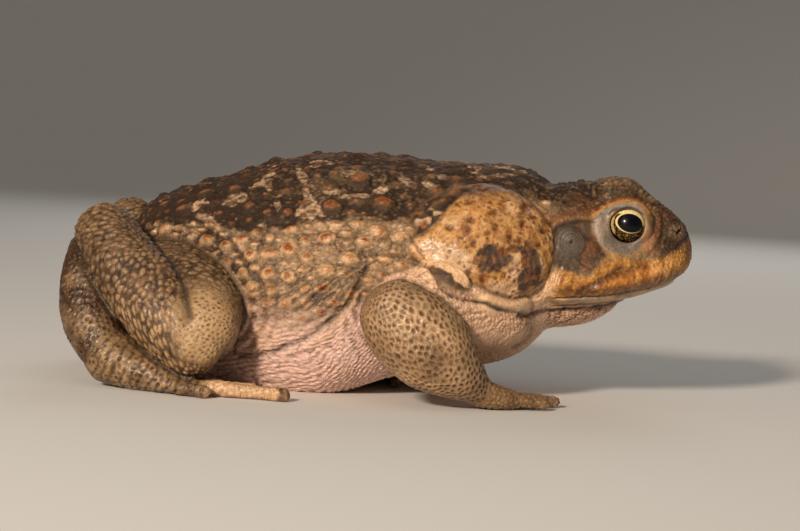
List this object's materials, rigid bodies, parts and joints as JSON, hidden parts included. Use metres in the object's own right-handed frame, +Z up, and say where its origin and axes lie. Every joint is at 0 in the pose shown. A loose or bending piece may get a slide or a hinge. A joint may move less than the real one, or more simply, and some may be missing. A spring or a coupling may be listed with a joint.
{
  "type": "cane toad",
  "caption": "Life-size cane toad resting on its belly and feet, with warty back, large neck glands, folded hind legs and spread fingers.",
  "frame": {"origin": "bottom centre of the animal's bounding box, on the floor it rests on", "axes": "+X towards the snout, +Y towards the animal's left side, +Z up"},
  "size_m": [0.165, 0.1144, 0.0638],
  "materials": {
    "body_skin": "moist, slightly glossy",
    "head_skin": "moist, slightly glossy",
    "jaw_skin": "moist, slightly glossy",
    "throat_skin": "moist, slightly glossy",
    "eyes": "wet glossy",
    "ear_drum": "moist, slightly glossy",
    "gland_skin": "moist, slightly glossy",
    "limb_skin": "moist, slightly glossy",
    "digit_skin": "moist, slightly glossy"
  },
  "bodies": {
    "root": {"eye_left": "eyes", "eye_right": "eyes", "foot_left": "digit_skin", "foot_right": "digit_skin", "forearm_left": "limb_skin", "forearm_right": "limb_skin", "hand_left": "digit_skin", "hand_right": "digit_skin", "head": "head_skin", "lower_jaw": "jaw_skin", "parotoid_left": "gland_skin", "parotoid_right": "gland_skin", "shank_left": "limb_skin", "shank_right": "limb_skin", "tarsus_left": "limb_skin", "tarsus_right": "limb_skin", "thigh_left": "limb_skin", "thigh_right": "limb_skin", "throat": "throat_skin", "torso": "body_skin", "tympanum_left": "ear_drum", "tympanum_right": "ear_drum", "upper_arm_left": "limb_skin", "upper_arm_right": "limb_skin"}
  },
  "joints": []
}
